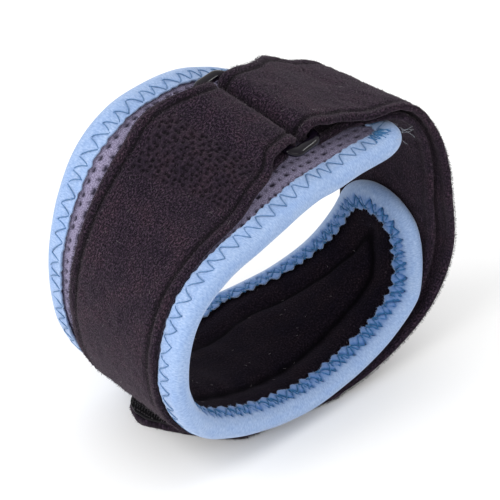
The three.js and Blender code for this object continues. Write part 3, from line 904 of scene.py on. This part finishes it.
def tip_stations(reach):
    """Stations of the free tip, flat on the ground."""
    x = tip_start - reach * TIP_LENGTH
    near, far = (np.stack([x, across, np.full_like(x, ground)], -1) for across in tip_edges(reach, 0))
    down = np.repeat(np.array([[0.0, 0, -1]]), len(reach), 0)
    return np.stack([near, far, down, down], 1)


hidden_stations, _ = strap_run(hidden_run, no_lift, HIDDEN_START, HIDDEN_END, 1)
lap_stations, lap_angles = strap_run(first_lap, no_lift, LAP_START, LAP_END, -1)
TIP_SHARES = np.concatenate([np.linspace(0.03, 0.9, 26), 1 - 0.1 * (1 - np.linspace(0, 1, 9)[1:]) ** 1.6])
HIDDEN_PART, LAP_PART, TAIL_PART = 0, 2, 4
parts = [
    hidden_stations, strap_turn(-1), lap_stations, strap_turn(1), tail_stations, tip_stations(TIP_SHARES),
]
stations = np.concatenate(parts)
station_part = np.concatenate([np.full(len(part), index) for index, part in enumerate(parts)])
station_angle = np.zeros(len(stations))
station_angle[station_part == LAP_PART] = lap_angles
station_angle[station_part == TAIL_PART] = tail_angles

# Strap: even steps along its length, with the joins between its stretches eased, but not its tip's
STRAP_STEP = 0.8
STRAP_COUNT = 50
travel = travelled(stations[:, :2].mean(1))
STRAP_LENGTH = travel[-1]
strap_spots = np.linspace(0, STRAP_LENGTH, int(STRAP_LENGTH / STRAP_STEP))
even = np.stack([
    np.interp(strap_spots, travel, stations.reshape(len(stations), -1)[:, k]) for k in range(12)
], -1)
EASE = 3
eased = even.copy()
eased[EASE:-EASE] = smoothed(even, EASE)
tip_from = STRAP_LENGTH - 0.6 * TIP_LENGTH
keep = smoothstep(tip_from - 6, tip_from, strap_spots)[:, None]
even = eased * (1 - keep) + even * keep
strap_angle = np.interp(strap_spots, travel, station_angle)
strap_part = station_part[np.clip(np.searchsorted(travel, strap_spots), 0, len(travel) - 1)]

# Hems of the strap, and angles, grid and pits of its densely sewn patch
HEM_WIDTH = 3.4
HEM_ROUND = 1.3
GROOVE_DEPTH = 0.72
PATCH = (109.0, 134.0)
PATCH_DENT = 0.55
PATCH_STEP = 0.28
PATCH_COUNT = 130
PIT_PITCH = (1.9, 1.65)
PIT_DEPTH = 0.75


def patch_share(angle, across):
    """1 on the densely sewn patch of the first lap, 0 off it."""
    leaning = angle - 0.12 * across
    from_start = smoothstep(PATCH[0], PATCH[0] + 2, leaning)
    past_end = smoothstep(PATCH[1] - 3, PATCH[1], leaning)
    return from_start * (1 - past_end) * (1 - smoothstep(14.5, 16.2, np.abs(across)))


def patch_pits(spots, across):
    """Pits between the patch's rows of stitches, in a staggered and slightly uneven grid, darkened with
    painted shade.
    """
    row = np.round(spots / PIT_PITCH[0])
    shift = np.where(np.mod(row, 2) > 0.5, 0.5, 0.0) + 0.16 * np.sin(row * 4.7)
    column = np.round(across / PIT_PITCH[1] - shift)
    jitter = np.sin(row * 12.9 + column * 78.2)
    x = (spots - (row + 0.2 * jitter) * PIT_PITCH[0]) / (0.74 + 0.14 * jitter)
    y = (across - (column + shift + 0.2 * np.cos(9 * jitter)) * PIT_PITCH[1]) / 0.66
    return (1 - smoothstep(0.45, 1.15, np.hypot(x, y))) * (0.85 + 0.15 * jitter)


def strap_at(spots):
    """Edges, normals, angle and stretch of the strap at distances along it."""
    rows = np.stack([np.interp(spots, strap_spots, even[:, k]) for k in range(12)], -1)
    near, far, near_up, far_up = (rows[:, 3 * k:3 * k + 3] for k in range(4))
    part = strap_part[np.clip(np.rint(spots / strap_spots[1]).astype(int), 0, len(strap_spots) - 1)]
    return near, far, unit(near_up), unit(far_up), np.interp(spots, strap_spots, strap_angle), part


def strap_face(spots, share, sign, patch_piece=False):
    """Points of one face of the strap, with across values and amounts of painted shade."""
    near, far, near_up, far_up, angle, part = strap_at(spots)
    width = np.linalg.norm(far - near, axis=1)[:, None]
    inset = width * share
    across = inset - width / 2
    from_edge = np.minimum(inset, width - inset)
    spots = np.repeat(spots[:, None], share.shape[-1], 1)
    round_hem = np.sqrt(np.clip(1 - (1 - np.clip(from_edge / HEM_ROUND, 0, 1)) ** 2, 0, 1))
    groove = np.exp(-(((from_edge - HEM_WIDTH) / 0.65) ** 2)) * (from_edge > HEM_ROUND)
    swell = 0.03 * np.exp(-(((from_edge - 1.8) / 1.1) ** 2))
    outward = np.where(part[:, None] <= LAP_PART, sign < 0, sign > 0)
    groove = groove * np.where(outward, 1, 0.4)
    outside = (part[:, None] == LAP_PART) & (sign < 0)
    patch = patch_share(angle[:, None], across) * outside
    plane = np.stack([spots, across * 1.3], -1)
    soft = 0.11 * waves(21 + sign, plane, 17) + 0.07 * waves(31 + sign, plane, 5.5)
    height = STRAP_THICKNESS / 2 * round_hem * (0.93 + swell)
    height = height - GROOVE_DEPTH * groove + (soft - 0.15) * round_hem
    # Painted shade in the hem's groove
    pit_shade = np.minimum(1, 1.3 * groove)
    if patch_piece:
        pits = patch_pits(spots, across) * patch
        height = height + 0.1 - PIT_DEPTH * pits - 0.7 * (1 - patch)
        # Painted shade in the patch's pits
        pit_shade = 0.95 * pits
    else:
        rough = 0.08 * random.normal(size=spots.shape)
        height = height + rough * np.minimum(1, from_edge) - PATCH_DENT * patch
    height = np.clip(height, 0.02, STRAP_THICKNESS / 2 + 0.12)
    up = near_up[:, None] * (1 - share[..., None]) + far_up[:, None] * share[..., None]
    base = near[:, None] + (far - near)[:, None] * share[..., None]
    points = base + unit(up) * (sign * height)[..., None]
    points[..., 2] = np.maximum(points[..., 2], ground - STRAP_THICKNESS / 2)
    return points, flat_places(spots, across), pit_shade


def make_strap():
    """The whole strap, its two faces meeting at round hems."""
    shares = np.repeat(np.linspace(0, 1, STRAP_COUNT)[None], len(strap_spots), 0)
    front = strap_face(strap_spots, shares, -1)
    back = strap_face(strap_spots, shares[:, ::-1], 1)
    points, cloth, pit_shade = (np.concatenate([a, b[:, 1:-1]], 1) for a, b in zip(front, back))
    return make_tube("strap_velour", points, velour, cloth, pit_shade)


def make_patch():
    """Fine sheet of the sewn patch, its border tucked into the strap."""
    inside = (strap_part == LAP_PART) & (strap_angle > PATCH[0] - 5) & (strap_angle < PATCH[1] + 5)
    spots = np.arange(strap_spots[inside][0], strap_spots[inside][-1], PATCH_STEP)
    shares = np.repeat(np.linspace(0.03, 0.97, PATCH_COUNT)[None], len(spots), 0)
    top, cloth, pit_shade = strap_face(spots, shares, -1, True)
    near, far, near_up, far_up, _, _ = strap_at(spots)
    low = near[:, None] + (far - near)[:, None] * shares[:, ::-1, None]
    low = low - unit(near_up + far_up)[:, None] * 0.2
    keep = slice(None, None, 6)
    points = np.concatenate([top, low[:, keep]], 1)
    cloth = np.concatenate([cloth, cloth[:, ::-1][:, keep]], 1)
    pit_shade = np.concatenate([pit_shade, 0 * pit_shade[:, keep]], 1)
    return make_tube("patch_velour", points, sewn_velour, cloth, pit_shade)


strap = make_strap()
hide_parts("strap")
make_patch()


# Ring of nearly round bars: radius of its corners, and points round a bar
RING_BEND = 2.6
BAR_SIDES = 20


def bar_section(shares, half):
    """Half size of a bar in one direction, from cosines or sines round it."""
    return half * np.sign(shares) * np.abs(shares) ** 0.85


def make_ring():
    half_x = (RING_SPAN - RING_BAR) / 2 - RING_BEND
    half_y = (RING_LENGTH - RING_BAR) / 2 - RING_BEND
    line = []
    for x, y, start in ((1, -1, -90), (1, 1, 0), (-1, 1, 90), (-1, -1, 180)):
        turns = np.radians(np.linspace(start, start + 90, 9))
        corner = np.array([x * half_x, y * half_y])
        line.append(corner + RING_BEND * np.stack([np.cos(turns), np.sin(turns)], -1))
    line = np.concatenate(line)
    fine = []
    for start, end in zip(line, np.roll(line, -1, 0)):
        count = max(1, int(round(np.linalg.norm(end - start))))
        fine += [start + (end - start) * k / count for k in range(count)]
    line = np.array(fine)
    forward = unit(np.roll(line, -1, 0) - np.roll(line, 1, 0))
    outward = np.stack([forward[:, 1], -forward[:, 0]], -1)
    turns = np.arange(BAR_SIDES) * 2 * math.pi / BAR_SIDES
    side = bar_section(np.cos(turns), RING_BAR / 2)
    rise = bar_section(np.sin(turns), RING_THICKNESS / 2)
    flat = line[:, None] + outward[:, None] * side[None, :, None]
    points = (
        ring_middle + flat[..., :1] * ring_short + flat[..., 1:] * ring_long
        + rise[None, :, None] * ring_up
    )[:, ::-1]
    cloth = flat_places(*np.meshgrid(travelled(line), turns, indexing="ij"))
    return make_tube("ring_loop", points, plastic, cloth, closed=True)


ring = make_ring()
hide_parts("strap_ring")

# Hook tab: a thin base with rows of small hooks, nearer to the strap's edge than the solid's
HOOK_PITCH = (1.15, 1.05)
HOOK_TRIM = 0.35
HOOK_LEAN = 0.42
HOOK_RADIUS = 0.12
BASE_THICKNESS = 0.45
hook_floor = ground + STRAP_THICKNESS / 2 + FACE_GAP
hook_start = 1 - HOOK_LENGTH / TIP_LENGTH
hook_end = 1 - HOOK_TRIM / TIP_LENGTH


def make_hook_base():
    """Thin sheet that the hooks stand on."""
    reach = np.linspace(hook_start, hook_end, 48)
    near, far = tip_edges(reach, HOOK_TRIM)
    x = tip_start - reach[:, None] * TIP_LENGTH
    shares = np.linspace(0, 1, 40)
    points = []
    for height, share in ((hook_floor - 0.15, shares), (hook_floor + BASE_THICKNESS, shares[::-1])):
        across = near[:, None] + (far - near)[:, None] * share
        points.append(np.stack(np.broadcast_arrays(x, across, height), -1))
    points = np.concatenate(points, 1)
    return make_tube("hook_base", points, base_nylon, points * (1, 1, 0))


def make_hooks():
    """Rows of bent hooks, each row leaning the other way from the last."""
    lines = []
    reach = np.linspace(hook_start, hook_end, 200)
    near, far = tip_edges(reach, HOOK_TRIM + 0.35)
    x_all = tip_start - reach * TIP_LENGTH
    floor = hook_floor + 0.35
    top = hook_floor + HOOK_THICKNESS
    for row, x in enumerate(np.arange(x_all.min() + 0.8, x_all.max(), HOOK_PITCH[0])):
        low = np.interp(-x, -x_all, near)
        high = np.interp(-x, -x_all, far)
        for across in np.arange(low, high, HOOK_PITCH[1]):
            lean = HOOK_LEAN if row % 2 else -HOOK_LEAN
            foot = (x, across, 0) + random.normal(0, 0.07, 3) * (1, 1, 0)
            heights = (floor, 0.4 * floor + 0.6 * top, top - 0.05, top - 0.25)
            lines.append([foot + (share * lean, 0, z) for share, z in zip((0, 0, 0.4, 1), heights)])
    return thread_tubes("hook_rows", lines, HOOK_RADIUS, hook_nylon, 4)


hook_base = make_hook_base()
hook_rows = make_hooks()
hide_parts("hook_tab")


# Nap, fray, lint and loose threads: how many of each, and sizes in millimetres
EDGE_NAP_COUNT = 12000
FACE_NAP_COUNT = 32000
FRAY_COUNT = 7000
STRAP_LINT_COUNT = 170
FLEECE_LINT_COUNT = 110
LOOSE_COUNT = 24
KNOT_COUNT = 22
NAP_RADIUS = 0.05
LINT_RADIUS = 0.05
LOOSE_RADIUS = 0.032
KNOT_RADIUS = 0.19
NAP_LENGTHS = (0.35, 0.95)
FRAY_LENGTHS = (0.3, 0.8)
FLOOR_LEVEL = -LOOP_MIDDLE[2]


def fibres(name, roots, ways, lengths, radius, material):
    """Short straight fibres, each a closed pyramid that stays above the floor."""
    ways = unit(ways)
    aside = unit(np.cross(ways, random.normal(size=ways.shape)))
    upward = np.cross(ways, aside)
    corners = [
        roots + radius * (math.cos(turn) * aside + math.sin(turn) * upward)
        for turn in (0, 2 * math.pi / 3, 4 * math.pi / 3)
    ]
    points = np.stack([*corners, roots + ways * lengths[:, None]], 1)
    points[..., 2] = np.maximum(points[..., 2], FLOOR_LEVEL)
    first = 4 * np.arange(len(roots))[:, None, None]
    faces = (first + np.array([(0, 2, 1), (0, 1, 3), (1, 2, 3), (2, 0, 3)])).reshape(-1, 3).tolist()
    cloth = np.repeat(roots, 4, 0) + random.normal(0, 0.4, (4 * len(roots), 3))
    return make_mesh(name, points, faces, material, cloth, np.zeros(len(cloth)), False)


def strap_places(count, edge_only):
    """Random places on the strap's outer face or edges, with a way out of the cloth at each."""
    spots = random.uniform(strap_spots[strap_part > HIDDEN_PART][0], STRAP_LENGTH, count)
    share = random.uniform(0.01, 0.99, count)
    if edge_only:
        share = np.where(share < 0.5, 0.006, 0.994)
    near, far, near_up, far_up, _, part = strap_at(spots)
    sign = np.where(part <= LAP_PART, -1.0, 1.0)
    top = strap_face(spots, share[:, None], -1)[0][:, 0]
    low = strap_face(spots, share[:, None], 1)[0][:, 0]
    roots = np.where(sign[:, None] < 0, top, low)
    up = unit(near_up + far_up) * sign[:, None]
    out = unit(far - near) * np.where(share < 0.5, -1.0, 1.0)[:, None]
    way = out + 0.5 * up if edge_only else up
    return roots - 0.05 * way, way, up


edge_roots, edge_ways, _ = strap_places(EDGE_NAP_COUNT, True)
face_roots, face_ways, _ = strap_places(FACE_NAP_COUNT, False)
# The face nap's lighter colour is painted highlight on the nap's tips
for name, roots, ways, material in (
    ("edge_nap", edge_roots, edge_ways, velour), ("strap_nap", face_roots, face_ways, threads["nap_highlight_fibre"]),
):
    ways = ways + random.normal(0, 0.45, ways.shape)
    lengths = random.uniform(*NAP_LENGTHS, len(roots))
    fibres(name, roots, ways, lengths, NAP_RADIUS, material)


def tape_fray():
    """Fuzz on the free edge of the tape's inner leg."""
    spots = random.uniform(0, PATH_LENGTH, FRAY_COUNT)
    _, shift = leg_shift(spots, turn_at(spots))
    inward = TAPE_REACH + shift - random.uniform(0, 0.5, len(spots))
    height = TAPE_FLOOR + 0.1 + inner_rise(TAPE_REACH)
    roots = on_path(spots, inward, height)
    ways = unit(on_path(spots, inward + 0.5, height) - roots) + random.normal(0, 0.45, roots.shape)
    return fibres("tape_fray", roots, ways, random.uniform(*FRAY_LENGTHS, len(spots)), NAP_RADIUS, tape)


tape_fray()


def curl(root, way, length, bend, count=7):
    """Line of a loose thread that sets out one way, bends at random and stays above the floor."""
    way = unit(np.asarray(way, float))
    turn = np.cross(way, unit(random.normal(size=3))) * bend
    points = [np.asarray(root, float)]
    for _ in range(count - 1):
        points.append(points[-1] + unit(way) * length / (count - 1))
        points[-1][2] = max(points[-1][2], FLOOR_LEVEL + 0.1)
        way = unit(way + turn / count + random.normal(0, 0.12, 3))
    return points


def specks(roots, normals, lengths):
    return [
        curl(root, np.cross(normal, random.normal(size=3)), random.uniform(*lengths), 1.2, 5)
        for root, normal in zip(roots, normals)
    ]


def lint_lines():
    """Specks of lint lying on the strap and the fleece."""
    roots, _, up = strap_places(STRAP_LINT_COUNT, False)
    lines = specks(roots + 0.15 * up, up, (0.5, 1.5))
    places = random.uniform(12, BODY_LENGTH - 12, FLEECE_LINT_COUNT)
    across = random.uniform(-0.7, 0.7, len(places)) * BODY_WIDTH / 2
    on_cloth = edge_distance(places, across) > TAPE_REACH + 1.5
    places, across = places[on_cloth], across[on_cloth]
    angle = angle_at(places)
    roots = raised(angle, across, lining_bottom(places, across) - 0.12)
    return lines + specks(roots, loop_normal(angle, across), (0.4, 1.0))


thread_tubes("lint", lint_lines(), LINT_RADIUS, threads["lint_fibre"], 3)


def loose_threads():
    """Cut thread ends at the near corner of the band's squared end."""
    spots = random.uniform(-7, 12, LOOSE_COUNT)
    inward = random.uniform(-0.1, 0.8, len(spots))
    roots = on_path(spots, inward, TAPE_TOP - 1.0)
    ahead = on_path(spots, inward - 0.6, TAPE_TOP - 1.0) - roots
    return [
        curl(root, unit(way) + random.normal(0, 0.3, 3), random.uniform(1.5, 5.0), 0.9, 9)
        for root, way in zip(roots, ahead)
    ]


def knots():
    """Crowded stitches where the seam starts, at that corner."""
    spots = random.uniform(8, 17, KNOT_COUNT)
    start = on_path(spots, random.uniform(2.8, 4.5, len(spots)), TAPE_TOP + 0.02)
    spots = spots + random.normal(0, 0.9, len(spots))
    end = on_path(spots, random.uniform(6.0, 7.9, len(spots)), TAPE_TOP + 0.02)
    return [[first + (last - first) * step for step in (0, 0.3, 0.7, 1)] for first, last in zip(start, end)]


for piece in (
    thread_tubes("loose_threads", loose_threads(), LOOSE_RADIUS, threads["grey_thread"], 4),
    thread_tubes("seam_start", knots(), KNOT_RADIUS, threads["blue_thread"], 5),
):
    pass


# Floor, lights and camera, in metres: a light's place, target, two sides and watts
FLOOR_HALF = 12.0
LIGHTS = {
    "key_light": ((-0.95, 0.15, 0.75), (0, 0, 0.05), (1.0, 1.0), 10.5),
    "fill_light": ((-0.35, -0.9, 0.6), (0, 0, 0.05), (0.8, 0.6), 2.0),
    "spark_light": ((0.75, -0.33, 0.8), (0, 0, 0.08), (0.35, 0.08), 1.2),
}
LENS = 170.7
CAMERA_DISTANCE = 0.7
CAMERA_BACK = Vector((-0.6053, -0.5846, 0.5402)).normalized()
CAMERA_TARGET = Vector((LOOP_MIDDLE + (0, -1.9, -0.4)) * MM)


def put(name, data, place=(0, 0, 0), way=None):
    """Object at a place that looks one way."""
    item = bpy.data.objects.new(name, data)
    item.location = place
    if way:
        item.rotation_euler = way.to_track_quat("-Z", "Y").to_euler()
    bpy.context.scene.collection.objects.link(item)
    return item


def make_stage():
    """Plain pale floor and white surroundings."""
    mesh = bpy.data.meshes.new("floor")
    corners = [(x * FLOOR_HALF, y * FLOOR_HALF, 0) for x, y in ((-1, -1), (1, -1), (1, 1), (-1, 1))]
    mesh.from_pydata(corners, [], [(0, 1, 2, 3)])
    material = bpy.data.materials.new("floor")
    material.use_nodes = True
    shader = material.node_tree.nodes["Principled BSDF"]
    shader.inputs["Base Color"].default_value = (0.93, 0.93, 0.93, 1)
    shader.inputs["Roughness"].default_value = 0.9
    mesh.materials.append(material)
    put("floor", mesh)
    world = bpy.data.worlds.new("studio")
    bpy.context.scene.world = world
    world.use_nodes = True
    background = world.node_tree.nodes["Background"]
    background.inputs["Color"].default_value = (1, 1, 1, 1)
    background.inputs["Strength"].default_value = 0.92


make_stage()
for name, (place, target, size, power) in LIGHTS.items():
    light = bpy.data.lights.new(name, "AREA")
    light.shape = "RECTANGLE"
    light.size, light.size_y = size
    light.energy = power
    put(name, light, place, Vector(target) - Vector(place))
lens = bpy.data.cameras.new("camera")
lens.sensor_width = 36.0
lens.lens = LENS
lens.clip_start = 0.01
bpy.context.scene.camera = put("camera", lens, CAMERA_TARGET + CAMERA_BACK * CAMERA_DISTANCE, -CAMERA_BACK)
bpy.context.scene.view_settings.view_transform = "Standard"
